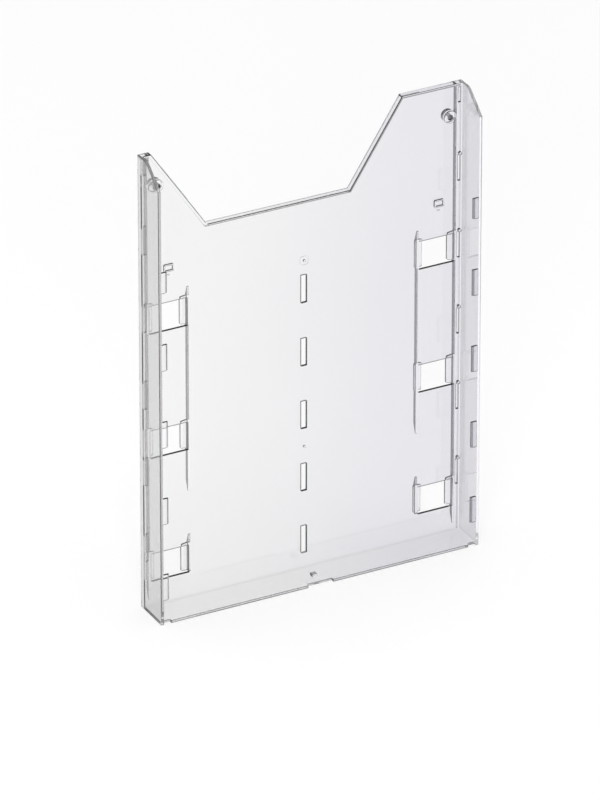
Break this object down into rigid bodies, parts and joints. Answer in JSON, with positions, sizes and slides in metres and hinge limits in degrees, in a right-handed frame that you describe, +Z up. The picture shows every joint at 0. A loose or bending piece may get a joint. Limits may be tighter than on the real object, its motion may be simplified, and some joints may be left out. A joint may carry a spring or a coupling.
{
  "type": "magazine rack",
  "caption": "Clear plastic wall tray for A4 magazines: notched back panel, side walls, floor, hooked windows, catch tabs and screw bosses.",
  "frame": {"origin": "middle of the underside", "axes": "+Z up, +Y towards the wall behind the rack, +X to the right seen from the open front"},
  "size_m": [0.23, 0.0286, 0.323],
  "materials": {
    "clear_sheet": "clear polished moulding",
    "clear_rib": "clear polished moulding",
    "clear_catch": "clear polished moulding"
  },
  "bodies": {
    "root": {"panel_centre": "clear_sheet", "panel_left": "clear_sheet", "panel_right": "clear_sheet", "left_wall": "clear_sheet", "right_wall": "clear_sheet", "floor_plate": "clear_sheet", "notch_rim": "clear_rib", "left_floor_lip": "clear_rib", "right_floor_lip": "clear_rib", "floor_latch": "clear_rib", "left_outer_rail": "clear_rib", "left_inner_rail_upper": "clear_rib", "left_inner_rail_lower": "clear_rib", "left_screw_boss": "clear_rib", "left_inner_hook_1": "clear_rib", "left_inner_hook_2": "clear_rib", "left_inner_hook_3": "clear_rib", "left_outer_hook_1": "clear_rib", "left_outer_hook_2": "clear_rib", "left_outer_hook_3": "clear_rib", "right_outer_rail": "clear_rib", "right_inner_rail_upper": "clear_rib", "right_inner_rail_lower": "clear_rib", "right_screw_boss": "clear_rib", "right_inner_hook_1": "clear_rib", "right_inner_hook_2": "clear_rib", "right_inner_hook_3": "clear_rib", "right_outer_hook_1": "clear_rib", "right_outer_hook_2": "clear_rib", "right_outer_hook_3": "clear_rib", "upper_pip": "clear_catch", "lower_pip": "clear_catch", "left_catch_1": "clear_catch", "left_catch_2": "clear_catch", "left_catch_3": "clear_catch", "left_catch_4": "clear_catch", "left_catch_5": "clear_catch", "left_stud_1": "clear_catch", "left_stud_2": "clear_catch", "left_stud_3": "clear_catch", "left_stud_4": "clear_catch", "left_stud_5": "clear_catch", "left_marker_frame": "clear_catch", "right_catch_1": "clear_catch", "right_catch_2": "clear_catch", "right_catch_3": "clear_catch", "right_catch_4": "clear_catch", "right_catch_5": "clear_catch", "right_stud_1": "clear_catch", "right_stud_2": "clear_catch", "right_stud_3": "clear_catch", "right_stud_4": "clear_catch", "right_stud_5": "clear_catch", "right_marker_frame": "clear_catch"}
  },
  "joints": []
}
